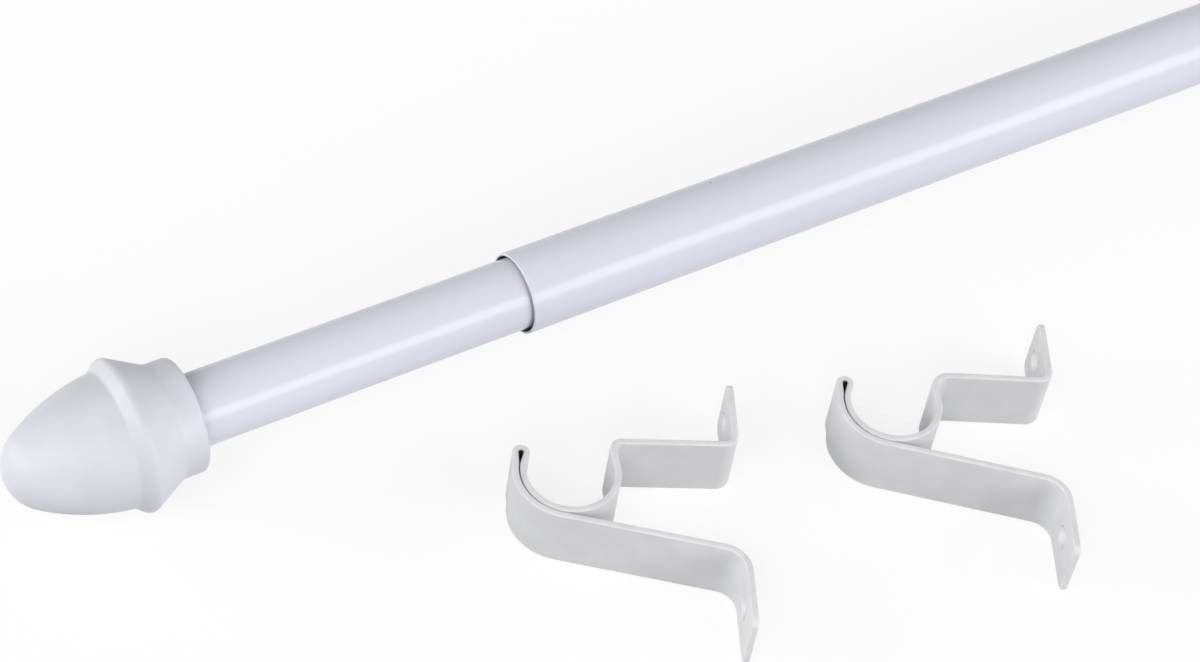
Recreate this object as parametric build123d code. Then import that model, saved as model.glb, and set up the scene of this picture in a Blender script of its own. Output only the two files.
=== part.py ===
# Cafe curtain rod: two telescoping tubes with a moulded finial on each end, and the pair of folded
# strap brackets that carry it, lying beside it. Millimetres, +X along the rod, +Z up, table at Z = 0.
from math import copysign, cos, radians, sin, tan
import os

from build123d import *

# Tubes, rolled from thin strip so that a butt seam runs along each of them
outer_tube_od = 15.88
outer_tube_length = 711.0
inner_tube_length = 700.0
tube_wall = 0.6
tube_slide_clearance = 0.44
tube_edge_radius = 0.2
seam_gap = 0.4
seam_angle = -60.0
exposed_inner_tube = 67.3

# Finial, one moulding whose stepped socket fits either tube
finial_length = 34.6
collar_radius = 10.8
collar_edge_radius = 0.9
cove_radius = 2.8
ridge_position = 11.6
ridge_radius = 14.4
ridge_crest_radius = 1.5
ridge_back_slope = 29.0
ridge_front_slope = 40.0
nose_base_radius = 12.7
nose_base_slope = 6.0
nose_tip_radius = 8.2
socket_clearance = 0.15
socket_end_clearance = 0.2
socket_lead_in = 0.5
outer_socket_depth = 10.0
inner_socket_depth = 20.0
core_radius = 4.5
core_depth = 30.0

# Bracket, one strap bent on edge: foot, arm, cradle that the rod snaps into, folded lip, arm, foot
strap_width = 13.2
strap_thickness = 1.2
foot_corner_radius = 1.8
upper_foot_length = 14.4
lower_foot_drop = 39.6
screw_hole_diameter = 4.4
upper_hole_from_end = 4.8
lower_hole_from_end = 7.8
upper_foot_bend = 1.7
upper_arm_bend = 1.0
lower_foot_bend = 4.5
cradle_clearance = 0.05
cradle_projection = 31.3
cradle_drop = 7.0
cradle_back_angle = 6.5
cradle_front_angle = 8.0
cradle_front_rise = 0.3
lip_fold_radius = 0.42
lip_neck_radius = 2.0
lip_taper_angle = 9.0
fold_gap = 0.15
lower_arm_angle = 12.4

# Where each bracket lies beside the rod: the root of its upper arm, and the way it projects
left_bracket_x = 20.6
left_bracket_y = -47.7
left_bracket_angle = 153.1
right_bracket_x = 83.0
right_bracket_y = -60.3
right_bracket_angle = 151.6

inner_tube_od = outer_tube_od - 2 * tube_wall - 2 * tube_slide_clearance
outer_socket_radius = outer_tube_od / 2 + socket_clearance
inner_socket_radius = inner_tube_od / 2 + socket_clearance
cradle_radius = outer_tube_od / 2 + cradle_clearance


def polar(angle, length=1.0):
    """Vector of a given length at an angle in the XY plane."""
    return Vector(length * cos(radians(angle)), length * sin(radians(angle)))


def rolled_tube(diameter, length):
    """Tube along +X from the origin, with its butt seam open by the seam gap."""
    ring = Circle(diameter / 2) - Circle(diameter / 2 - tube_wall)
    seam = Rectangle(diameter, seam_gap, align=(Align.MIN, Align.CENTER))
    tube = extrude(Plane.YZ * (ring - Rot(0, 0, seam_angle) * seam), amount=length)
    rims = tube.edges().filter_by(GeomType.CIRCLE).sort_by(SortBy.RADIUS)[-2:]
    return fillet(rims, tube_edge_radius)


def finial():
    """Finial with its collar face at the origin and its nose towards +X, turned about the X axis."""
    crest = Vector(ridge_position, ridge_radius - ridge_crest_radius)
    crest_back = crest + polar(90 + ridge_back_slope, ridge_crest_radius)
    crest_front = crest + polar(90 - ridge_front_slope, ridge_crest_radius)
    cove_x = crest_back.X - (crest_back.Y - collar_radius) / tan(radians(ridge_back_slope))
    nose_base_x = crest_front.X + (crest_front.Y - nose_base_radius) / tan(radians(ridge_front_slope))
    nose_base = Vector(nose_base_x, nose_base_radius)

    # The flank arc leaves the ridge at the base slope and runs tangent into the round tip
    tip_centre = Vector(finial_length - nose_tip_radius, 0)
    flank_normal = polar(90 - nose_base_slope)
    reach = nose_base - tip_centre
    flank_rise = reach.dot(flank_normal) - nose_tip_radius
    flank_radius = (reach.dot(reach) - nose_tip_radius**2) / (2 * flank_rise)
    flank_centre = nose_base - flank_normal * flank_radius
    tip_start = tip_centre + (tip_centre - flank_centre).normalized() * nose_tip_radius

    flank = TangentArc(nose_base, tip_start, tangent=polar(-nose_base_slope))
    outside = [
        Polyline((0, collar_radius), (cove_x, collar_radius), crest_back),
        TangentArc(crest_back, crest_front, tangent=polar(ridge_back_slope)),
        Line(crest_front, nose_base),
        flank,
        TangentArc(tip_start, (finial_length, 0), tangent=flank % 1),
    ]
    socket = Polyline(
        (finial_length, 0),
        (core_depth, 0),
        (core_depth, core_radius),
        (inner_socket_depth, core_radius),
        (inner_socket_depth, inner_socket_radius),
        (outer_socket_depth, inner_socket_radius),
        (outer_socket_depth, outer_socket_radius),
        (socket_lead_in, outer_socket_radius),
        (0, outer_socket_radius + socket_lead_in),
        (0, collar_radius),
    )
    section = make_face(outside + [socket])
    section = round_corner(section, (0, collar_radius), collar_edge_radius)
    section = round_corner(section, (cove_x, collar_radius), cove_radius)
    return revolve(section, Axis.X)


def round_corner(section, corner, radius):
    """Section with the corner nearest to a point rounded."""
    nearest = section.vertices().sort_by_distance(corner)[0]
    return fillet(nearest, radius)


def bent_strip(start, heading, moves):
    """Edge view of the strap: each move is a straight length, a centre-line bend radius and a turn."""
    point = start
    sides = {1: [], -1: []}
    for straight, radius, turn in moves:
        end = point + polar(heading, straight)
        for side, edges in sides.items():
            offset = polar(heading + 90, side * strap_thickness / 2)
            edges.append(Line(point + offset, end + offset))
        point = end
        if turn:
            inward = copysign(90, turn)
            centre = point + polar(heading + inward, radius)
            for side, edges in sides.items():
                side_radius = radius - copysign(side * strap_thickness / 2, side * turn)
                edges.append(CenterArc(centre, side_radius, heading - inward, turn))
            heading += turn
            point = centre + polar(heading - inward, radius)
    first_end = Line(sides[1][0] @ 0, sides[-1][0] @ 0)
    last_end = Line(sides[1][-1] @ 1, sides[-1][-1] @ 1)
    return make_face(sides[1] + sides[-1] + [first_end, last_end])


def bracket():
    """Bracket on its edge: wall face at X = 0, projecting to +X, upper arm on Y = 0, +Y down."""
    half = strap_thickness / 2
    foot_bend = upper_foot_bend + half
    arm_bend = upper_arm_bend + half
    heel_bend = lower_foot_bend + half
    inner_layer = cradle_radius + half
    outer_layer = inner_layer + strap_thickness + fold_gap
    lip_bend = lip_fold_radius + half
    back = radians(cradle_back_angle)
    taper = radians(lip_taper_angle)
    slope = radians(lower_arm_angle)
    cradle = Vector(cradle_projection, cradle_drop)

    # Back wall: leans over the rod, tangent to the cradle below and to the upper arm's bend above
    wall_foot = cradle + polar(180 + cradle_back_angle, inner_layer)
    wall_length = (wall_foot.Y - arm_bend * (1 + sin(back))) / cos(back)
    arm_end = wall_foot.X + wall_length * sin(back) - arm_bend * cos(back)

    # Folded lip: two straight tapers spread from the closed layers to the round of the fold
    closed_half = (strap_thickness + fold_gap) / 2
    spread = lip_bend * cos(taper) - closed_half - lip_neck_radius * (1 - cos(taper))
    lip_straight = spread / sin(taper)

    # Lower arm: leaves the outer layer tangentially and bends down into the foot on the wall
    arm_start = cradle + polar(90 - lower_arm_angle, outer_layer)
    arm_length = (arm_start.X + heel_bend * sin(slope) - half - heel_bend) / cos(slope)
    foot_top = arm_start.Y + arm_length * sin(slope) + heel_bend * cos(slope)

    moves = [
        (upper_foot_length - foot_bend, foot_bend, -90),
        (arm_end - half - foot_bend, arm_bend, 90 + cradle_back_angle),
        (wall_length, inner_layer, -180 - cradle_back_angle - cradle_front_angle),
        (cradle_front_rise, lip_neck_radius, -lip_taper_angle),
        (lip_straight, lip_bend, 180 + 2 * lip_taper_angle),
        (lip_straight, lip_neck_radius, -lip_taper_angle),
        (cradle_front_rise, outer_layer, 90 - lower_arm_angle + cradle_front_angle),
        (arm_length, heel_bend, lower_arm_angle - 90),
        (lower_foot_drop - foot_top, 0, 0),
    ]
    strap = extrude(bent_strip(Vector(half, -upper_foot_length), 90, moves), amount=strap_width)
    end_edges = strap.edges().filter_by(Axis.X).sort_by(Axis.Y)
    strap = fillet(end_edges[:2] + end_edges[-2:], foot_corner_radius)
    for drop in (upper_hole_from_end - upper_foot_length, lower_foot_drop - lower_hole_from_end):
        hole = Rot(0, 90, 0) * Cylinder(screw_hole_diameter / 2, 2 * strap_thickness)
        strap -= Pos(half, drop, strap_width / 2) * hole
    return strap


def build():
    """Every piece by its name: X runs from the outer tube's open end, Y from the rod's axis."""
    on_axis = Pos(0, 0, ridge_radius)
    inner_end = -exposed_inner_tube - inner_socket_depth + socket_end_clearance
    collar_face = outer_tube_length + socket_end_clearance - outer_socket_depth
    left_place = Pos(left_bracket_x, left_bracket_y, 0) * Rot(0, 0, left_bracket_angle)
    right_place = Pos(right_bracket_x, right_bracket_y, 0) * Rot(0, 0, right_bracket_angle)
    return {
        "outer_tube": on_axis * rolled_tube(outer_tube_od, outer_tube_length),
        "inner_tube": on_axis * Pos(inner_end, 0, 0) * rolled_tube(inner_tube_od, inner_tube_length),
        "inner_tube_finial": on_axis * Pos(-exposed_inner_tube, 0, 0) * Rot(0, 0, 180) * finial(),
        "outer_tube_finial": on_axis * Pos(collar_face, 0, 0) * finial(),
        "left_bracket": left_place * bracket(),
        "right_bracket": right_place * bracket(),
    }


pieces = build()
box = Compound(list(pieces.values())).bounding_box()
row_origin = Vector(box.center().X, box.center().Y, box.min.Z)
os.makedirs("parts", exist_ok=True)
for name, piece in pieces.items():
    export_step(Pos(-row_origin) * piece, f"parts/{name}.step")
print("row origin in rod coordinates", row_origin)
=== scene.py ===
"""Cafe rod: two telescoping enamelled tubes, a moulded finial on each end and a pair of strap brackets.

Sizes are in millimetres in the fields and become metres when a skin is made. The rod lies along X.
"""
from __future__ import annotations

import logging
from dataclasses import dataclass, field
from enum import Enum
from typing import Any, Union

import bmesh
import bpy
import numpy as np
from mathutils import Matrix

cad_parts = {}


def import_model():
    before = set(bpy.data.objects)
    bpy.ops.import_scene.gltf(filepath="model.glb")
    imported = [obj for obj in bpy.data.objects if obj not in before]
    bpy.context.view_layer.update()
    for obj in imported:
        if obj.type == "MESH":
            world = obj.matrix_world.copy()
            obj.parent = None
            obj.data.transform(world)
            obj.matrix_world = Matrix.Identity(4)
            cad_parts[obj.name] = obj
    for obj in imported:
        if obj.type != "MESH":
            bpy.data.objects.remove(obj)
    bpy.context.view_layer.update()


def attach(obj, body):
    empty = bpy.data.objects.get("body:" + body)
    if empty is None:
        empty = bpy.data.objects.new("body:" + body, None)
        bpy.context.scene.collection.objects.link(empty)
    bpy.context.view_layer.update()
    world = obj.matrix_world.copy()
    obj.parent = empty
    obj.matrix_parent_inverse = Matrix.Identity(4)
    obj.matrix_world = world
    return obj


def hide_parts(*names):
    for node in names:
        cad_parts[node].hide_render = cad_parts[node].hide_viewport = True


LOG = logging.getLogger("cafe_rod")
MM = 0.001
IMAGE_WIDTH = 1200.0
SENSOR_WIDTH = 36.0
WELD = 1e-6
SHARP_ANGLE = 40.0

Colour = tuple[float, float, float, float]
Array = np.ndarray
WHITE: Colour = (1.0, 1.0, 1.0, 1.0)


class Body(Enum):
    """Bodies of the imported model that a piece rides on."""

    ROD_BASE = "rod_base"
    SLIDING_TUBE = "sliding_tube"
    SLIDING_FINIAL = "sliding_tube_finial"
    BASE_FINIAL = "base_finial"


class Slot(Enum):
    """Material slots of the record."""

    TUBE = "tube_enamel"
    FINIAL = "finial_plastic"
    STRAP = "strap_enamel"


class Facing(Enum):
    """Which way a finial's nose points along the rod."""

    LEFT = -1.0
    RIGHT = 1.0


def srgb(red: float, green: float, blue: float) -> Colour:
    """Scene colour of an sRGB colour.

    Args:
        red: red, 0 to 255.
        green: green, 0 to 255.
        blue: blue, 0 to 255.

    Returns:
        Linear red, green, blue and an alpha of 1.
    """
    c = np.array([red, green, blue]) / 255.0
    lin = np.where(c <= 0.04045, c / 12.92, ((c + 0.055) / 1.055) ** 2.4)
    return (float(lin[0]), float(lin[1]), float(lin[2]), 1.0)


def arc(centre: tuple[float, float], radius: float, start: float, end: float, steps: int) -> Array:
    """Points of a circular arc: the centre plus the radius times (cos a, sin a), a in even steps.

    Args:
        centre: centre of the circle.
        radius: its radius.
        start: first angle, degrees.
        end: last angle, degrees.
        steps: number of chords.

    Returns:
        An array of steps + 1 points.
    """
    a = np.radians(np.linspace(start, end, steps + 1))
    return np.asarray(centre) + radius * np.stack([np.cos(a), np.sin(a)], axis=-1)


class Socket:
    """An output socket in arithmetic: each operator adds a Math node to the graph."""

    def __init__(self, graph: Graph, output: bpy.types.NodeSocket) -> None:
        """Keeps the graph and the output that this value comes from."""
        self.graph = graph
        self.output = output

    def __add__(self, other: Value) -> Socket:
        """Sum."""
        return self.graph.math("ADD", self, other)

    def __radd__(self, other: Value) -> Socket:
        """Sum with a number first."""
        return self.graph.math("ADD", other, self)

    def __sub__(self, other: Value) -> Socket:
        """Difference."""
        return self.graph.math("SUBTRACT", self, other)

    def __rsub__(self, other: Value) -> Socket:
        """Difference with a number first."""
        return self.graph.math("SUBTRACT", other, self)

    def __mul__(self, other: Value) -> Socket:
        """Product."""
        return self.graph.math("MULTIPLY", self, other)

    def __rmul__(self, other: Value) -> Socket:
        """Product with a number first."""
        return self.graph.math("MULTIPLY", other, self)

    def __lt__(self, other: Value) -> Socket:
        """1 where this value is less, otherwise 0."""
        return self.graph.math("LESS_THAN", self, other)


Value = Union[Socket, float]


class Graph:
    """A node tree that is written as expressions."""

    def __init__(self, tree: bpy.types.NodeTree) -> None:
        """Empties the tree and keeps it."""
        tree.nodes.clear()
        self.tree = tree

    def node(
        self, kind: str, settings: dict[str, Any], inputs: dict[Any, Any], output: Any = 0
    ) -> Socket:
        """Adds a node: its settings first, then the values or links of its sockets.

        Args:
            kind: node type.
            settings: properties of the node, such as a Math node's operation.
            inputs: socket name or number to a Socket or a plain value.
            output: name or number of the output that is wanted.

        Returns:
            That output.
        """
        made = self.tree.nodes.new(kind)
        for key, value in settings.items():
            setattr(made, key, value)
        for key, value in inputs.items():
            if isinstance(value, Socket):
                self.tree.links.new(value.output, made.inputs[key])
            else:
                made.inputs[key].default_value = value
        return Socket(self, made.outputs[output]) if made.outputs else Socket(self, None)

    def math(self, operation: str, a: Value, b: Value) -> Socket:
        """A Math node on two values."""
        return self.node("ShaderNodeMath", {"operation": operation}, {0: a, 1: b})

    def mix(self, a: Any, b: Any, factor: Value) -> Socket:
        """Colour that goes from a to b as the factor goes from 0 to 1."""
        return self.node("ShaderNodeMix", {"data_type": "RGBA"}, {0: factor, 6: a, 7: b}, 2)

    def span(self, value: Value, low: float, high: float) -> Socket:
        """The value's place between low and high, clamped to 0 to 1."""
        inputs = {"Value": value, "From Min": low, "From Max": high}
        return self.node("ShaderNodeMapRange", {"clamp": True}, inputs)

    def place(self, stretch: tuple[float, float, float] = (1.0, 1.0, 1.0)) -> Socket:
        """Object coordinates, scaled along each axis."""
        coords = self.node("ShaderNodeTexCoord", {}, {}, "Object")
        return self.node("ShaderNodeMapping", {}, {"Vector": coords, "Scale": stretch})

    def noise(self, where: Socket, scale: float, detail: float = 2.0) -> Socket:
        """Smooth noise from 0 to 1."""
        inputs = {"Vector": where, "Scale": scale, "Detail": detail}
        return self.node("ShaderNodeTexNoise", {}, inputs, "Fac")

    def attribute(self, name: str) -> Socket:
        """A number that the mesh carries on its points."""
        return self.node("ShaderNodeAttribute", {"attribute_name": name}, {}, "Fac")

    def bump(self, height: Socket, distance: float) -> Socket:
        """Normal of a surface raised by a height of 0 to 1 times a distance in metres."""
        inputs = {"Strength": 1.0, "Distance": distance, "Height": height}
        return self.node("ShaderNodeBump", {}, inputs, "Normal")

    def shader_mix(self, a: Socket, b: Socket, factor: Socket) -> Socket:
        """Shader that goes from a to b as the factor goes from 0 to 1."""
        return self.node("ShaderNodeMixShader", {}, {0: factor, 1: a, 2: b})

    def specks(self, where: Socket, spacing: float, size: float, share: float) -> Socket:
        """Sparse round specks: 1 near the centre of some cells of a Voronoi pattern.

        Args:
            where: coordinates in metres.
            spacing: size of a cell in metres.
            size: speck radius in metres.
            share: share of the cells that hold a speck.

        Returns:
            1 on a speck, 0 elsewhere.
        """
        scale = 1.0 / spacing
        cell = {"Vector": where, "Scale": scale}
        distance = self.node("ShaderNodeTexVoronoi", {}, cell, "Distance")
        tint = self.node("ShaderNodeTexVoronoi", {}, cell, "Color")
        pick = self.node("ShaderNodeSeparateColor", {}, {"Color": tint}, "Red")
        return (distance < size * scale) * (pick < share)


def new_material(name: str) -> tuple[bpy.types.Material, Graph]:
    """A new material with nodes.

    Args:
        name: name of the material.

    Returns:
        The material and its empty graph.
    """
    material = bpy.data.materials.new(name)
    material.use_nodes = True
    return material, Graph(material.node_tree)


def close_surface(graph: Graph, shader: Socket) -> None:
    """Links a shader to the material's output."""
    graph.node("ShaderNodeOutputMaterial", {}, {"Surface": shader})


@dataclass(frozen=True)
class TubeEnamel:
    """Glossy white enamel baked on a rolled tube: faint clouding, fine orange peel, a few specks, and
    dark painted shade on the inner wall.
    """

    name: str = "tube_enamel"
    colour: Colour = srgb(226, 228, 239)
    shade: Colour = srgb(222, 224, 235)
    speck: Colour = srgb(118, 116, 114)
    # dark grey painted on the tube's inner wall as the shade inside the tube
    inside_shade_colour: Colour = srgb(70, 68, 66)
    roughness: float = 0.16
    specular: float = 0.32
    coat: float = 0.06
    coat_roughness: float = 0.08
    cloud_stretch: tuple[float, float, float] = (0.12, 1.0, 1.0)
    cloud_scale: float = 60.0
    cloud_range: tuple[float, float] = (0.35, 0.75)
    cloud_dulling: float = 0.03
    peel_scale: float = 900.0
    peel_height: float = 0.000012
    speck_spacing: float = 0.011
    speck_size: float = 0.00032
    speck_share: float = 0.3
    # roughness raised on the specks and on the painted inside shade
    dark_mark_dulling: float = 0.3

    def material(self) -> bpy.types.Material:
        """Builds the enamel.

        Returns:
            The material.
        """
        material, g = new_material(self.name)
        where = g.place()
        cloud = g.noise(g.place(self.cloud_stretch), self.cloud_scale, 3.0)
        peel = g.noise(where, self.peel_scale)
        speck = g.specks(where, self.speck_spacing, self.speck_size, self.speck_share)
        # mask of the inner wall, where the dark painted shade goes
        inside_shade = g.attribute("inside_shade")
        body = g.mix(self.colour, self.shade, g.span(cloud, *self.cloud_range))
        coated = g.mix(body, self.speck, speck)
        dulling = self.cloud_dulling * cloud + self.dark_mark_dulling * (speck + inside_shade)
        shader = g.node(
            "ShaderNodeBsdfPrincipled",
            {},
            {
                "Base Color": g.mix(coated, self.inside_shade_colour, inside_shade),
                "Roughness": self.roughness + dulling,
                "Specular IOR Level": self.specular,
                "Coat Weight": self.coat,
                "Coat Roughness": self.coat_roughness,
                "Normal": g.bump(peel, self.peel_height),
            },
        )
        close_surface(g, shader)
        return material


@dataclass(frozen=True)
class FinialPlastic:
    """White moulded plastic with a soft sheen: slight mottling, a fine moulded texture and grey painted
    shade inside the socket.
    """

    name: str = "finial_plastic"
    colour: Colour = srgb(224, 224, 231)
    shade: Colour = srgb(217, 217, 224)
    # grey painted inside the socket as the shade in it
    bore_shade: Colour = srgb(120, 118, 118)
    roughness: float = 0.42
    mottle_scale: float = 110.0
    mottle_range: tuple[float, float] = (0.35, 0.7)
    mottle_dulling: float = 0.1
    grain_scale: float = 1500.0
    grain_height: float = 0.00002

    def material(self) -> bpy.types.Material:
        """Builds the plastic.

        Returns:
            The material.
        """
        material, g = new_material(self.name)
        where = g.place()
        mottle = g.noise(where, self.mottle_scale, 3.0)
        grain = g.noise(where, self.grain_scale)
        body = g.mix(self.colour, self.shade, g.span(mottle, *self.mottle_range))
        shader = g.node(
            "ShaderNodeBsdfPrincipled",
            {},
            {
                # the socket's rows take the grey painted shade
                "Base Color": g.mix(body, self.bore_shade, g.attribute("inside_shade")),
                "Roughness": self.roughness + self.mottle_dulling * mottle,
                "Normal": g.bump(grain, self.grain_height),
            },
        )
        close_surface(g, shader)
        return material


@dataclass(frozen=True)
class StrapEnamel:
    """Satin white enamel on bent strap: a lighter painted highlight along the edges, near-black painted
    shade inside the fold, soft orange peel.
    """

    name: str = "strap_enamel"
    colour: Colour = srgb(225, 225, 227)
    shade: Colour = srgb(218, 218, 219)
    # lighter colour painted along the edges as a highlight
    edge: Colour = srgb(234, 234, 236)
    # near-black painted inside the closed fold as the shade there
    inside_shade_colour: Colour = srgb(52, 50, 48)
    roughness: float = 0.42
    specular: float = 0.35
    cloud_scale: float = 140.0
    cloud_range: tuple[float, float] = (0.35, 0.7)
    cloud_dulling: float = 0.1
    # noise that breaks up the painted edge highlight
    edge_highlight_scale: float = 260.0
    edge_highlight_range: tuple[float, float] = (0.15, 0.6)
    peel_scale: float = 700.0
    peel_height: float = 0.00002
    dark_mark_dulling: float = 0.3

    def material(self) -> bpy.types.Material:
        """Builds the enamel.

        Returns:
            The material.
        """
        material, g = new_material(self.name)
        where = g.place()
        cloud = g.noise(where, self.cloud_scale, 3.0)
        peel = g.noise(where, self.peel_scale)
        # mask of the fold's inside, where the dark painted shade goes
        inside_shade = g.attribute("inside_shade")
        # painted highlight along the edges, broken up by noise
        edge_highlight = g.attribute("rim") * g.span(g.noise(where, self.edge_highlight_scale, 3.0), *self.edge_highlight_range)
        body = g.mix(self.colour, self.shade, g.span(cloud, *self.cloud_range))
        shader = g.node(
            "ShaderNodeBsdfPrincipled",
            {},
            {
                "Base Color": g.mix(g.mix(body, self.edge, edge_highlight), self.inside_shade_colour, inside_shade),
                "Roughness": self.roughness + self.cloud_dulling * cloud + self.dark_mark_dulling * inside_shade,
                "Specular IOR Level": self.specular,
                "Normal": g.bump(peel, self.peel_height),
            },
        )
        close_surface(g, shader)
        return material


def grid_faces(index: Array) -> Array:
    """Corner numbers of the faces between neighbouring points of a grid of point numbers."""
    corners = [index[:-1, :-1], index[1:, :-1], index[1:, 1:], index[:-1, 1:]]
    return np.stack(corners, axis=-1).reshape(-1, 4)


def put_in_scene(name: str, data: bpy.types.ID) -> bpy.types.Object:
    """Puts a mesh, lamp or camera in the scene.

    Args:
        name: name of the object.
        data: what it holds.

    Returns:
        The object, at the origin.
    """
    made = bpy.data.objects.new(name, data)
    bpy.context.scene.collection.objects.link(made)
    return made


def direction(azimuth: float, elevation: float) -> Array:
    """Unit vector from the object to a viewer or a lamp.

    Args:
        azimuth: angle round Z in degrees; 0 stands in front, at -Y.
        elevation: angle above the floor in degrees.

    Returns:
        (sin a cos e, -cos a cos e, sin e).
    """
    a, e = np.radians([azimuth, elevation])
    return np.array([np.sin(a) * np.cos(e), -np.cos(a) * np.cos(e), np.sin(e)])


@dataclass
class Skin:
    """A closed surface put together from point grids that share their border points."""

    points: list[Array] = field(default_factory=list)
    quads: list[Array] = field(default_factory=list)
    rims: list[Array] = field(default_factory=list)
    # per point, where dark shade is painted inside a recess
    inside_shades: list[Array] = field(default_factory=list)
    count: int = 0

    def add(
        self,
        grid: Array,
        wrap: tuple[bool, bool] = (False, False),
        rim: float | Array = 0.0,
        inside_shade: float | Array = 0.0,
    ) -> None:
        """Adds a grid of points; wrapping a direction joins its last line to its first.

        Args:
            grid: rows by columns by 3 array of points, millimetres.
            wrap: whether the rows and the columns close on themselves.
            rim: 1 on a sheared edge, where a strap's finish paints a lighter highlight, otherwise 0.
            inside_shade: 1 where dark shade is painted inside a recess, otherwise 0.
        """
        rows, columns = grid.shape[:2]
        index = self.count + np.arange(rows * columns).reshape(rows, columns)
        index = np.concatenate([index, index[:1]]) if wrap[0] else index
        index = np.concatenate([index, index[:, :1]], axis=1) if wrap[1] else index
        self.points.append(grid.reshape(-1, 3))
        self.quads.append(grid_faces(index))
        self.rims.append(np.broadcast_to(rim, (rows, columns)).ravel())
        self.inside_shades.append(np.broadcast_to(inside_shade, (rows, columns)).ravel())
        self.count += rows * columns

    def piece(self, name: str, material: bpy.types.Material) -> bpy.types.Object:
        """Makes the mesh: shared points are welded, faces turned outwards and steep edges kept sharp.

        Args:
            name: name of the piece.
            material: its finish.

        Returns:
            The linked object, at the origin, in metres.
        """
        mesh = bpy.data.meshes.new(name)
        points = np.concatenate(self.points) * MM
        mesh.from_pydata(points.tolist(), [], np.concatenate(self.quads).tolist())
        # the rim tag weights a painted edge highlight; the other tag marks where dark shade is painted
        for tag, values in (("rim", self.rims), ("inside_shade", self.inside_shades)):
            mesh.attributes.new(tag, "FLOAT", "POINT").data.foreach_set("value", np.concatenate(values))
        work = bmesh.new()
        work.from_mesh(mesh)
        bmesh.ops.remove_doubles(work, verts=work.verts, dist=WELD)
        bmesh.ops.recalc_face_normals(work, faces=work.faces)
        work.to_mesh(mesh)
        work.free()
        mesh.shade_smooth()
        mesh.set_sharp_from_angle(angle=np.radians(SHARP_ANGLE))
        mesh.materials.append(material)
        return put_in_scene(name, mesh)


def dress(piece: bpy.types.Object, node: str, body: Body) -> None:
    """Lets a piece ride on its body and stand for its node, whose CAD part is hidden.

    Args:
        piece: the finished object.
        node: CAD node that it stands for.
        body: body that it rides on.
    """
    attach(piece, body.value)
    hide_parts(node)
    LOG.info("%s: %d faces, for %s on %s", piece.name, len(piece.data.polygons), node, body.value)


@dataclass(frozen=True)
class RodAxis:
    """Where the rod lies in the row frame."""

    y: float = 40.367
    z: float = 14.4


@dataclass
class RolledTube:
    """A tube rolled from thin strip, with an open butt seam and rounded rims."""

    node: str
    body: Body
    start: float
    length: float
    diameter: float
    wall: float = 0.6
    outer_rim: float = 0.2
    inner_rim: float = 0.12
    seam_gap: float = 0.4
    seam_angle: float = -60.0
    around: int = 144
    along: int = 40
    axis: RodAxis = RodAxis()

    def half_section(self, radius: float, rim: float, side: float) -> Array:
        """Outer or inner half of the wall's section, from the middle of one rim to the other.

        It is a quarter round, a straight line along the tube and another quarter round.

        Args:
            radius: radius of the wall's face.
            rim: radius of its rim.
            side: 1 for the outer face, -1 for the inner face.

        Returns:
            Points (x, r) from the left end to the right end.
        """
        middle = radius - side * self.wall / 2
        turn = arc((rim, radius - side * rim), rim, 180.0, 180.0 - side * 90.0, steps=5)
        x = np.linspace(rim, self.length - rim, self.along)[1:-1]
        run = np.stack([x, np.full_like(x, radius)], axis=-1)
        back = turn[::-1] * (-1.0, 1.0) + (self.length, 0.0)
        return np.concatenate([[(0.0, middle)], turn, run, back, [(self.length, middle)]])

    def skin(self) -> Skin:
        """Wall section carried round the axis from one seam edge to the other, plus two seam faces.

        A point is (start + x, r cos a, r sin a) about the rod's axis; at a seam edge the angle is such
        that the edge stands half the seam gap from the seam's middle plane.

        Returns:
            The closed skin.
        """
        outside = self.half_section(self.diameter / 2, self.outer_rim, 1.0)
        inside = self.half_section(self.diameter / 2 - self.wall, self.inner_rim, -1.0)
        loop = np.concatenate([outside, inside[-2:0:-1]])
        edge = np.arcsin(self.seam_gap / 2 / loop[:, 1])
        turn = np.linspace(0.0, 1.0, self.around + 1)[:, None]
        angle = np.radians(self.seam_angle) + edge + turn * (2 * np.pi - 2 * edge)
        x = np.broadcast_to(self.start + loop[:, 0], angle.shape)
        y = self.axis.y + loop[:, 1] * np.cos(angle)
        z = self.axis.z + loop[:, 1] * np.sin(angle)
        grid = np.stack([x, y, z], axis=-1)
        skin = Skin()
        half = len(outside)
        # the inner face gets the dark painted shade of the tube's inside
        skin.add(grid, wrap=(False, True), inside_shade=np.arange(len(loop)) >= half)
        for row in (grid[0], grid[-1]):
            facing = np.concatenate([row[:1], row[half:][::-1], row[half - 1 : half]])
            skin.add(np.stack([row[:half], facing]), rim=1.0)
        return skin

    def build(self, finish: bpy.types.Material) -> None:
        """Builds and dresses the tube."""
        piece = self.skin().piece(self.node + "_enamelled", finish)
        dress(piece, self.node, self.body)


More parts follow.
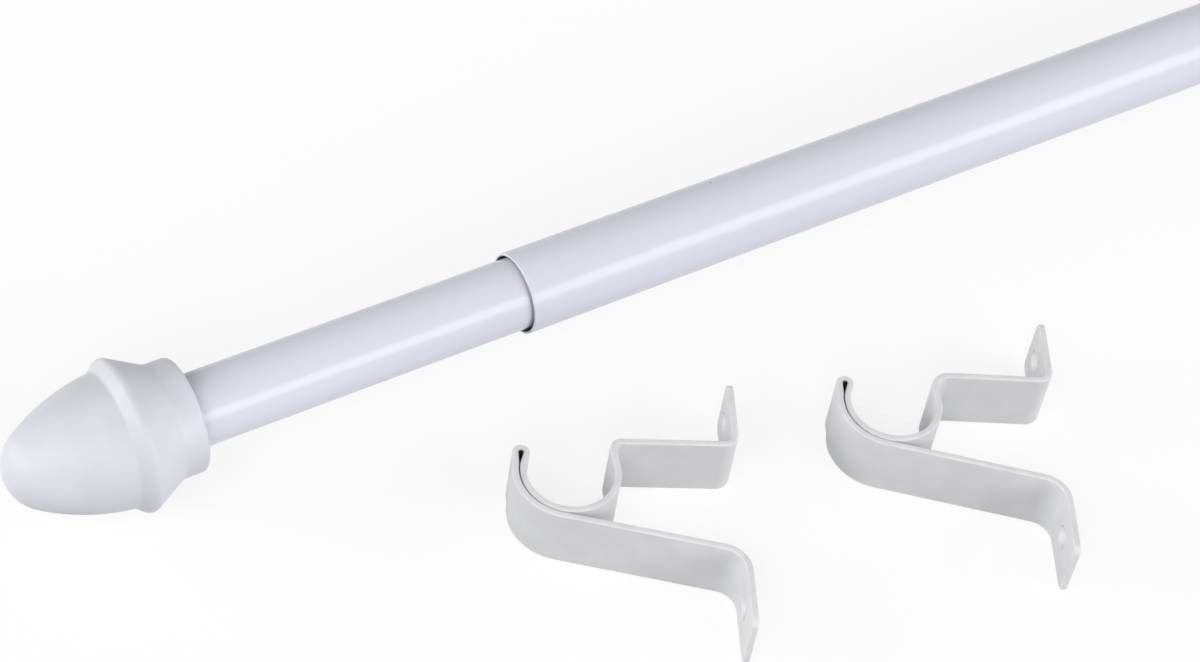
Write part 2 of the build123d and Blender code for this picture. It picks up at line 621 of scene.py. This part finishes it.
@dataclass
class Finial:
    """A moulded finial: collar, cove, ridge and bullet nose, with a stepped socket for the tubes."""

    node: str
    body: Body
    collar_face: float
    facing: Facing
    length: float = 34.6
    collar_radius: float = 10.8
    collar_edge: float = 0.9
    cove_radius: float = 2.8
    ridge_position: float = 11.6
    ridge_radius: float = 14.4
    crest_radius: float = 1.5
    back_slope: float = 29.0
    front_slope: float = 40.0
    base_radius: float = 12.7
    base_slope: float = 6.0
    base_fillet: float = 1.2
    tip_radius: float = 8.2
    outer_socket: float = 8.09
    inner_socket: float = 7.05
    lead_in: float = 0.5
    outer_depth: float = 10.0
    inner_depth: float = 20.0
    core_radius: float = 4.5
    core_depth: float = 30.0
    around: int = 160
    axis: RodAxis = RodAxis()

    def outside(self) -> Array:
        """Half section of the outside, from the tip to the collar face.

        A round tip, a flank arc tangent to it, a small fillet, the ridge's front slope, its round
        crest, its back slope, a cove fillet, the collar and the collar's rounded edge.

        Returns:
            Points (x, r).
        """
        crest = np.array([self.ridge_position, self.ridge_radius - self.crest_radius])
        slopes = np.radians([90.0 + self.back_slope, 90.0 - self.front_slope])
        back, front = crest + self.crest_radius * np.stack([np.cos(slopes), np.sin(slopes)], axis=-1)
        run = (front[1] - self.base_radius) / np.tan(np.radians(self.front_slope))
        base = np.array([front[0] + run, self.base_radius])
        tip = np.array([self.length - self.tip_radius, 0.0])
        normal = np.array([np.sin(np.radians(self.base_slope)), np.cos(np.radians(self.base_slope))])
        reach = base - tip
        flank_radius = (reach @ reach - self.tip_radius**2) / (2 * (reach @ normal - self.tip_radius))
        flank_centre = base - normal * flank_radius
        joint = np.degrees(np.arctan2(*(tip - flank_centre)[::-1]))
        half_turn = np.radians(self.front_slope - self.base_slope) / 2
        setback = self.base_fillet * np.tan(half_turn)
        top = 90.0 - self.base_slope - np.degrees(setback / flank_radius)
        flank = arc(flank_centre, flank_radius, joint, top, steps=40)
        hollow = self.hollow(flank[-1], base, setback)
        cove_x = back[0] - (back[1] - self.collar_radius) / np.tan(np.radians(self.back_slope))
        cove_x -= self.cove_radius * np.tan(np.radians(self.back_slope) / 2)
        cove_centre = (cove_x, self.collar_radius + self.cove_radius)
        cove = arc(cove_centre, self.cove_radius, self.back_slope - 90.0, -90.0, steps=10)
        edge_centre = (self.collar_edge, self.collar_radius - self.collar_edge)
        collar = np.linspace(cove_x, self.collar_edge, 6)[1:]
        return np.concatenate(
            [
                arc(tip, self.tip_radius, 0.0, joint, steps=32),
                flank[1:],
                hollow,
                arc(crest, self.crest_radius, 90.0 - self.front_slope, 90.0 + self.back_slope, steps=14),
                (back + cove[:1]) / 2,
                cove,
                np.stack([collar, np.full_like(collar, self.collar_radius)], axis=-1),
                arc(edge_centre, self.collar_edge, 90.0, 180.0, steps=8)[1:],
            ]
        )

    def hollow(self, start: Array, corner: Array, setback: float) -> Array:
        """Fillet in the hollow before the ridge: a quadratic curve from the flank to the slope.

        Args:
            start: point on the flank.
            corner: where the flank and the slope would meet.
            setback: distance from the corner to each end of the curve.

        Returns:
            Points (x, r) after the start.
        """
        slope = np.radians(self.front_slope)
        end = corner + setback * np.array([-np.cos(slope), np.sin(slope)])
        t = np.linspace(0.0, 1.0, 7)[1:, None]
        return (1 - t) ** 2 * start + 2 * t * (1 - t) * corner + t**2 * end

    def socket(self) -> Array:
        """Half section of the stepped socket, from the collar face to the bottom of its core.

        Returns:
            Points (x, r).
        """
        return np.array(
            [
                (0.0, self.outer_socket + self.lead_in),
                (self.lead_in, self.outer_socket),
                (self.outer_depth, self.outer_socket),
                (self.outer_depth, self.inner_socket),
                (self.inner_depth, self.inner_socket),
                (self.inner_depth, self.core_radius),
                (self.core_depth, self.core_radius),
                (self.core_depth, 0.0),
            ]
        )

    def skin(self) -> Skin:
        """Half section turned about the rod's axis: (face + x, r cos a, r sin a).

        Returns:
            The closed skin; the tip and the core's bottom are points on the axis.
        """
        outside = self.outside()
        section = np.concatenate([outside, self.socket()])
        section[0, 1] = 0.0
        # the socket's rows past its mouth get the grey painted shade
        bore_shade = np.arange(len(section)) > len(outside)
        angle = np.linspace(0.0, 2 * np.pi, self.around, endpoint=False)[:, None]
        y = self.axis.y + section[:, 1] * np.cos(angle)
        z = self.axis.z + section[:, 1] * np.sin(angle)
        x = np.broadcast_to(self.collar_face + self.facing.value * section[:, 0], y.shape)
        skin = Skin()
        skin.add(np.stack([x, y, z], axis=-1), wrap=(True, False), inside_shade=bore_shade)
        return skin

    def build(self, finish: bpy.types.Material) -> None:
        """Builds and dresses the finial."""
        piece = self.skin().piece(self.node + "_moulded", finish)
        dress(piece, self.node, self.body)


@dataclass
class StrapBracket:
    """One strap, pierced and rounded while flat, then folded: foot, arm, cradle, lip, arm, foot."""

    node: str
    root: tuple[float, float]
    heading: float
    width: float = 13.2
    thickness: float = 1.2
    edge_round: float = 0.28
    corner_radius: float = 1.8
    upper_foot: float = 14.4
    lower_drop: float = 39.6
    hole_radius: float = 2.2
    hole_edge: float = 0.2
    upper_hole: float = 4.8
    lower_hole: float = 7.8
    hole_margin: float = 3.4
    # weight of the painted edge highlight on a hole's wall
    hole_edge_highlight: float = 0.6
    foot_bend: float = 1.7
    arm_bend: float = 1.0
    heel_bend: float = 4.5
    cradle_radius: float = 7.99
    projection: float = 31.3
    drop: float = 7.0
    back_angle: float = 6.5
    front_angle: float = 8.0
    front_rise: float = 0.3
    lip_fold: float = 0.42
    lip_neck: float = 2.0
    lip_taper: float = 9.0
    fold_gap: float = 0.15
    arm_angle: float = 12.4
    # share of dark painted shade where the fold opens out
    seam_shade: float = 0.55
    straight_step: float = 1.5
    bend_step: float = 4.0
    least_step: float = 0.2

    def moves(self) -> Array:
        """Folds of the strap's middle line.

        Returns:
            Rows of straight length, bend radius and turn in degrees.
        """
        half = self.thickness / 2
        foot, arm, heel = self.foot_bend + half, self.arm_bend + half, self.heel_bend + half
        inner = self.cradle_radius + half
        outer = inner + self.thickness + self.fold_gap
        lip = self.lip_fold + half
        back, taper, slope = np.radians([self.back_angle, self.lip_taper, self.arm_angle])
        wall_x = self.projection - inner * np.cos(back)
        wall_y = self.drop - inner * np.sin(back)
        wall = (wall_y - arm * (1 + np.sin(back))) / np.cos(back)
        arm_end = wall_x + wall * np.sin(back) - arm * np.cos(back)
        closed = (self.thickness + self.fold_gap) / 2
        lip_run = (lip * np.cos(taper) - closed - self.lip_neck * (1 - np.cos(taper))) / np.sin(taper)
        start_x = self.projection + outer * np.sin(slope)
        start_y = self.drop + outer * np.cos(slope)
        arm_run = (start_x + heel * np.sin(slope) - half - heel) / np.cos(slope)
        foot_top = start_y + arm_run * np.sin(slope) + heel * np.cos(slope)
        return np.array(
            [
                (self.upper_foot - foot, foot, -90.0),
                (arm_end - half - foot, arm, 90.0 + self.back_angle),
                (wall, inner, -180.0 - self.back_angle - self.front_angle),
                (self.front_rise, self.lip_neck, -self.lip_taper),
                (lip_run, lip, 180.0 + 2 * self.lip_taper),
                (lip_run, self.lip_neck, -self.lip_taper),
                (self.front_rise, outer, 90.0 - self.arm_angle + self.front_angle),
                (arm_run, heel, self.arm_angle - 90.0),
                (self.lower_drop - foot_top, 1.0, 0.0),
            ]
        )

    def runs(self) -> tuple[Array, Array]:
        """Lengths and turns of the straight and bent runs, one after the other.

        Returns:
            Run lengths in millimetres and run turns in radians; a straight run turns by 0.
        """
        moves = self.moves()
        turns = np.radians(moves[:, 2])
        lengths = np.stack([moves[:, 0], np.abs(turns) * moves[:, 1]], axis=1).ravel()
        return lengths, np.stack([np.zeros_like(turns), turns], axis=1).ravel()

    def fold(self, blank: Array) -> Array:
        """Folds points of the flat blank and puts them where the bracket lies.

        The middle line is a chain of lines and arcs. On an arc the heading grows evenly with the
        distance s, so the point moves by chord terms of sine and cosine; a point of the blank stands
        off the middle line along the normal and keeps its place across the strap as its height.

        Args:
            blank: points (s along the strap, z across it, n off its middle face).

        Returns:
            Points in the row frame.
        """
        lengths, turns = self.runs()
        starts = np.concatenate([[0.0], np.cumsum(lengths)])[:-1]
        headings = np.pi / 2 + np.concatenate([[0.0], np.cumsum(turns)])[:-1]
        mid = headings + turns / 2
        chord = lengths * np.sinc(turns / 2 / np.pi)
        steps = chord[:, None] * np.stack([np.cos(mid), np.sin(mid)], axis=-1)
        first = np.array([[self.thickness / 2, -self.upper_foot]])
        corners = np.concatenate([first, first + np.cumsum(steps, axis=0)])[:-1]
        s, z, n = blank[..., 0], blank[..., 1], blank[..., 2]
        run = np.clip(np.searchsorted(starts, s, side="right") - 1, 0, len(starts) - 1)
        run = np.where(lengths[run] > 0, run, run - 1)
        ahead = s - starts[run]
        turn = turns[run] * ahead / lengths[run]
        way = headings[run] + turn / 2
        reach = ahead * np.sinc(turn / 2 / np.pi)
        end = headings[run] + turn
        x = corners[run, 0] + reach * np.cos(way) - n * np.sin(end)
        y = corners[run, 1] + reach * np.sin(way) + n * np.cos(end)
        a = np.radians(self.heading)
        row_x = self.root[0] + x * np.cos(a) - y * np.sin(a)
        row_y = self.root[1] + x * np.sin(a) + y * np.cos(a)
        return np.stack([row_x, row_y, z + self.width / 2], axis=-1)

    def stations(self, low: float, high: float) -> Array:
        """Distances along the strap where it gets a line of points: close in the bends.

        Args:
            low: first distance.
            high: last distance.

        Returns:
            Sorted distances.
        """
        lengths, turns = self.runs()
        starts = np.concatenate([[0.0], np.cumsum(lengths)])
        bends = np.abs(np.degrees(turns)) / self.bend_step
        counts = np.ceil(np.where(turns == 0, lengths / self.straight_step, bends))
        counts = np.maximum(counts, 1).astype(int)
        spans = zip(starts[:-1], starts[1:], counts)
        every = np.concatenate([np.linspace(a, b, n, endpoint=False) for a, b, n in spans])
        inside = every[(every > low + self.least_step) & (every < high - self.least_step)]
        return np.concatenate([[low], inside, [high]])

    def fold_shade(self, s: Array) -> Array:
        """How much dark painted shade the strap's upper face gets inside the folded front of the cradle.

        It is full inside the lip and partial from there to where the lower arm leaves the cradle, on
        both layers, and falls off over a short run at each end.

        Args:
            s: distances along the strap.

        Returns:
            Values from 0 to 1.
        """
        lengths = self.runs()[0]
        starts = np.concatenate([[0.0], np.cumsum(lengths)])
        inner = self.cradle_radius + self.thickness / 2
        shut = np.radians(90.0 - self.arm_angle + self.front_angle) * inner
        cradle_end, lip_start, lip_end, layer_start, layer_end = starts[[6, 8, 11, 13, 14]]
        ends = [cradle_end - shut, cradle_end, lip_start, lip_end, layer_start, layer_end]
        return np.interp(s, ends, [0.0, self.seam_shade, 1.0, 1.0, self.seam_shade, 0.0])

    def columns(self) -> Array:
        """Places across the face of the strap, closer near its edges."""
        reach = self.width / 2 - self.edge_round
        return reach * np.sin(np.linspace(-np.pi / 2, np.pi / 2, 15))

    def foot_outline(self, cut: float) -> tuple[Array, Array]:
        """Border of a foot's face from one side of the cut round the end to its other side.

        Straight side, rounded corner, straight end, rounded corner, straight side; the face stops
        short of the outline by the edge round.

        Args:
            cut: distance of the cut from the end.

        Returns:
            Points (distance from the end, z) and outward normals.
        """
        r, e, w = self.corner_radius, self.edge_round, self.width / 2
        side = np.linspace(cut, r, 7, endpoint=False)
        psi = np.linspace(0.0, np.pi / 2, 13)
        corner_n = np.stack([-np.sin(psi), np.cos(psi)], axis=-1)
        corner = np.array([r, w - r]) + (r - e) * corner_n
        end_z = np.linspace(w - r, 0.0, 5)[1:]
        points = np.concatenate(
            [
                np.stack([side, np.full_like(side, w - e)], axis=-1),
                corner,
                np.stack([np.full_like(end_z, e), end_z], axis=-1),
            ]
        )
        flat_n = np.array([[0.0, 1.0]])
        end_n = np.array([[-1.0, 0.0]])
        normals = np.concatenate([flat_n.repeat(len(side), 0), corner_n, end_n.repeat(len(end_z), 0)])
        mirror = np.array([1.0, -1.0])
        return (
            np.concatenate([points, points[-2::-1] * mirror]),
            np.concatenate([normals, normals[-2::-1] * mirror]),
        )

    def edge_profile(self, radius: float) -> Array:
        """Rounded edge of the strap from its upper face to its lower face.

        Args:
            radius: radius of the round.

        Returns:
            Rows of distance outwards and distance off the middle face.
        """
        half = self.thickness / 2
        upper = arc((0.0, half - radius), radius, 90.0, 0.0, steps=6)
        return np.concatenate([upper, upper[::-1] * (1.0, -1.0)])

    def foot(self, skin: Skin, cut: float, hole: float, place: Array) -> tuple[Array, Array]:
        """Adds a foot's two faces and its screw hole.

        A face is a ring: each border point is joined by a straight line to the point of the hole's
        edge in the same direction. The hole's wall is the rounded edge turned round the hole.

        Args:
            skin: skin to add to.
            cut: distance of the cut from the end.
            hole: distance of the hole's centre from the end.
            place: offset and sign that turn a distance from the end into one along the strap.

        Returns:
            The outline's points and normals in the flat blank.
        """
        outline, normals = self.foot_outline(cut)
        across = self.columns()[1:-1]
        joint = np.stack([np.full_like(across, cut), across], axis=-1)
        border = np.concatenate([outline, joint])
        centre = np.array([hole, 0.0])
        spoke = border - centre
        spoke /= np.linalg.norm(spoke, axis=1, keepdims=True)
        rim = centre + spoke * (self.hole_radius + self.hole_edge)
        t = np.linspace(0.0, 1.0, 7)[:, None, None]
        ring = rim + (border - rim) * t
        half = self.thickness / 2
        for side in (half, -half):
            face = np.concatenate([ring, np.full(ring.shape[:2] + (1,), side)], axis=-1)
            skin.add(self.fold(face * (place[1], 1.0, 1.0) + (place[0], 0.0, 0.0)), wrap=(False, True))
        edge = self.edge_profile(self.hole_edge)
        wall = rim[None] - spoke[None] * edge[:, :1, None]
        depth = np.broadcast_to(edge[:, 1:, None], wall.shape[:2] + (1,))
        wall = np.concatenate([wall, depth], axis=-1)
        wall = self.fold(wall * (place[1], 1.0, 1.0) + (place[0], 0.0, 0.0))
        # the hole's wall takes part of the painted edge highlight
        skin.add(wall, wrap=(False, True), rim=self.hole_edge_highlight)
        return outline * (place[1], 1.0) + (place[0], 0.0), normals * (place[1], 1.0)

    def skin(self) -> Skin:
        """Flat blank with two pierced feet, a plain middle and a rounded edge all round, then folded.

        Returns:
            The closed skin.
        """
        skin = Skin()
        total = self.runs()[0].sum()
        upper_cut = self.upper_hole + self.hole_margin
        lower_cut = self.lower_hole + self.hole_margin
        upper, upper_n = self.foot(skin, upper_cut, self.upper_hole, np.array([0.0, 1.0]))
        lower, lower_n = self.foot(skin, lower_cut, self.lower_hole, np.array([total, -1.0]))
        s = self.stations(upper_cut, total - lower_cut)
        across, along = np.meshgrid(self.columns(), s)
        half = self.thickness / 2
        # the upper face takes the dark painted shade inside the fold
        fold_shade = self.fold_shade(along)
        for side, inside_shade in ((half, fold_shade), (-half, 0.0)):
            skin.add(self.fold(np.stack([along, across, np.full_like(along, side)], axis=-1)), inside_shade=inside_shade)
        inner = s[1:-1]
        reach = self.width / 2 - self.edge_round
        plus = np.stack([inner, np.full_like(inner, reach)], axis=-1)
        minus = plus * (1.0, -1.0)
        up = np.array([[0.0, 1.0]]).repeat(len(inner), 0)
        border = np.concatenate([upper[::-1], plus, lower, minus[::-1]])
        normals = np.concatenate([upper_n[::-1], up, lower_n, -up])
        edge = self.edge_profile(self.edge_round)
        rim = border[None] + normals[None] * edge[:, :1, None]
        depth = np.broadcast_to(edge[:, 1:, None], rim.shape[:2] + (1,))
        # the edge beside the fold takes the dark painted shade too, towards its upper face
        inside = self.fold_shade(border[None, :, 0]) * np.clip(edge[:, 1:] / half, 0.0, 1.0) ** 4
        rim = self.fold(np.concatenate([rim, depth], axis=-1))
        # every edge of the strap takes the painted edge highlight
        skin.add(rim, wrap=(False, True), rim=1.0, inside_shade=inside)
        return skin

    def build(self, finish: bpy.types.Material) -> None:
        """Builds and dresses the bracket."""
        piece = self.skin().piece(self.node + "_folded", finish)
        dress(piece, self.node, Body.ROD_BASE)


@dataclass(frozen=True)
class PhotoCamera:
    """Camera at the photograph's viewing angle: place in millimetres, angles in degrees."""

    focal_px: float = 3109.08
    place: tuple[float, float, float] = (-538.661, -269.918, 451.982)
    azimuth: float = -38.102
    elevation: float = 49.35
    roll: float = 10.176

    def build(self) -> None:
        """Makes the camera: the level right and up vectors are turned about the view by the roll."""
        back = direction(self.azimuth, self.elevation)
        r = np.radians(self.roll)
        right = np.cross(-back, (0.0, 0.0, 1.0))
        right /= np.linalg.norm(right)
        up = np.cross(right, -back)
        turn = np.eye(4)
        turn[:3, 0] = np.cos(r) * right + np.sin(r) * up
        turn[:3, 1] = -np.sin(r) * right + np.cos(r) * up
        turn[:3, 2] = back
        turn[:3, 3] = np.array(self.place) * MM
        lens = bpy.data.cameras.new("photo_camera")
        lens.sensor_fit = "HORIZONTAL"
        lens.sensor_width = SENSOR_WIDTH
        lens.lens = self.focal_px / IMAGE_WIDTH * SENSOR_WIDTH
        lens.clip_start = 0.01
        lens.clip_end = 100.0
        camera = put_in_scene("photo_camera", lens)
        camera.matrix_world = Matrix(turn.tolist())
        bpy.context.scene.camera = camera
        LOG.info("camera with a %.1f mm lens", lens.lens)


@dataclass(frozen=True)
class SoftBox:
    """A soft rectangular lamp aimed at a point of the object; sizes in metres."""

    name: str
    azimuth: float
    elevation: float
    distance: float
    width: float
    height: float
    power: float
    aim: tuple[float, float, float] = (0.0, 0.0, 0.01)

    def build(self) -> None:
        """Hangs the lamp: its width lies level, its face looks at the aim."""
        back = direction(self.azimuth, self.elevation)
        right = np.cross((0.0, 0.0, 1.0), back)
        right /= np.linalg.norm(right)
        turn = np.eye(4)
        turn[:3, 0], turn[:3, 1], turn[:3, 2] = right, np.cross(back, right), back
        turn[:3, 3] = np.array(self.aim) + back * self.distance
        lamp = bpy.data.lights.new(self.name, "AREA")
        lamp.shape = "RECTANGLE"
        lamp.size, lamp.size_y = self.width, self.height
        lamp.energy = self.power
        put_in_scene(self.name, lamp).matrix_world = Matrix(turn.tolist())


@dataclass(frozen=True)
class Studio:
    """A plain pale floor under soft light, white where the camera sees it."""

    floor_reach: float = 6.0
    floor_lines: int = 5
    floor_colour: Colour = srgb(190, 191, 194)
    floor_glow: float = 0.785
    shadow_colour: Colour = (0.24, 0.24, 0.24, 1.0)
    fade: tuple[float, float] = (0.55, 1.4)
    front_air: float = 0.15
    back_air: float = 0.26
    sky: Colour = (0.97, 0.98, 1.0, 1.0)
    boxes: tuple[SoftBox, ...] = (
        SoftBox("key_box", 30.0, 25.0, 2.6, 3.4, 1.2, 55.0),
        SoftBox("back_left_box", -114.0, 14.0, 2.2, 1.6, 1.0, 22.0),
        SoftBox("front_left_box", -62.0, 42.0, 2.2, 1.6, 1.2, 16.0),
        SoftBox("right_box", 96.0, 12.0, 2.2, 1.4, 1.0, 6.0),
    )

    def seen(self, g: Graph) -> Socket:
        """Mask of what the camera sees straight, in a reflection or through glass.

        Args:
            g: graph of the floor or the world.

        Returns:
            1 for such a ray, 0 for light that falls on a surface.
        """
        path = ("Is Camera Ray", "Is Glossy Ray", "Is Transmission Ray")
        rays = [g.node("ShaderNodeLightPath", {}, {}, name) for name in path]
        return g.span(rays[0] + rays[1] + rays[2], 0.0, 1.0)

    def floor(self) -> None:
        """Lays the floor: a level grid, white to the eye, that keeps soft shadows near the object."""
        material, g = new_material("floor_pale")
        lit = g.node("ShaderNodeBsdfDiffuse", {}, {"Color": self.floor_colour})
        shaded = g.node("ShaderNodeBsdfDiffuse", {}, {"Color": self.shadow_colour})
        glow = g.node("ShaderNodeEmission", {}, {"Color": WHITE, "Strength": self.floor_glow})
        near = g.node("ShaderNodeAddShader", {}, {0: glow, 1: shaded})
        white = g.node("ShaderNodeEmission", {}, {"Color": WHITE, "Strength": 1.0})
        reach = g.node("ShaderNodeVectorMath", {"operation": "LENGTH"}, {0: g.place()}, "Value")
        eye = g.shader_mix(near, white, g.span(reach, *self.fade))
        close_surface(g, g.shader_mix(lit, eye, self.seen(g)))
        side = np.linspace(-self.floor_reach, self.floor_reach, self.floor_lines)
        x, y = np.meshgrid(side, side, indexing="ij")
        points = np.stack([x, y, np.zeros_like(x)], axis=-1).reshape(-1, 3)
        faces = grid_faces(np.arange(x.size).reshape(x.shape))
        mesh = bpy.data.meshes.new("studio_floor")
        mesh.from_pydata(points.tolist(), [], faces.tolist())
        mesh.materials.append(material)
        put_in_scene("studio_floor", mesh)

    def world(self) -> None:
        """Soft light that fades evenly from the front to the back, and white behind the floor's edge."""
        world = bpy.data.worlds.new("studio_air")
        world.use_nodes = True
        g = Graph(world.node_tree)
        way = g.node("ShaderNodeTexCoord", {}, {}, "Generated")
        depth = g.node("ShaderNodeSeparateXYZ", {}, {"Vector": way}, "Y")
        front = g.node("ShaderNodeBackground", {}, {"Color": self.sky, "Strength": self.front_air})
        back = g.node("ShaderNodeBackground", {}, {"Color": self.sky, "Strength": self.back_air})
        air = g.shader_mix(front, back, g.span(depth, -1.0, 1.0))
        white = g.node("ShaderNodeBackground", {}, {"Color": WHITE, "Strength": 1.0})
        g.node("ShaderNodeOutputWorld", {}, {"Surface": g.shader_mix(air, white, self.seen(g))})
        bpy.context.scene.world = world

    def build(self) -> None:
        """Sets up the floor, the light and plain colours."""
        self.floor()
        self.world()
        for box in self.boxes:
            box.build()
        bpy.context.scene.view_settings.view_transform = "Standard"
        LOG.info("studio with %d soft boxes", len(self.boxes))


@dataclass
class CafeRod:
    """The whole set as it lies: tubes, finials and brackets."""

    tubes: tuple[RolledTube, ...] = (
        RolledTube("outer_tube", Body.ROD_BASE, -316.95, 711.0, 15.88),
        RolledTube("inner_tube", Body.SLIDING_TUBE, -404.05, 700.0, 13.8),
    )
    finials: tuple[Finial, ...] = (
        Finial("inner_tube_finial", Body.SLIDING_FINIAL, -384.25, Facing.LEFT),
        Finial("outer_tube_finial", Body.BASE_FINIAL, 384.25, Facing.RIGHT),
    )
    brackets: tuple[StrapBracket, ...] = (
        StrapBracket("left_bracket", (-296.35, -7.333), 153.1),
        StrapBracket("right_bracket", (-233.95, -19.933), 151.6, arm_bend=2.6),
    )

    def build(self) -> None:
        """Builds every piece in its finish."""
        dressed = (
            (self.tubes, TubeEnamel()),
            (self.finials, FinialPlastic()),
            (self.brackets, StrapEnamel()),
        )
        for pieces, finish in dressed:
            material = finish.material()
            for piece in pieces:
                piece.build(material)


def corners(box: tuple[Any, Any]) -> list[list[float]]:
    """A box as two plain lists of numbers."""
    return [[float(c) for c in corner] for corner in box]


def main() -> None:
    """Loads the frame, builds camera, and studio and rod."""
    logging.basicConfig(level=logging.INFO, format="%(name)s: %(message)s")
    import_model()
    PhotoCamera().build()
    Studio().build()
    CafeRod().build()


if __name__ == "__main__":
    main()
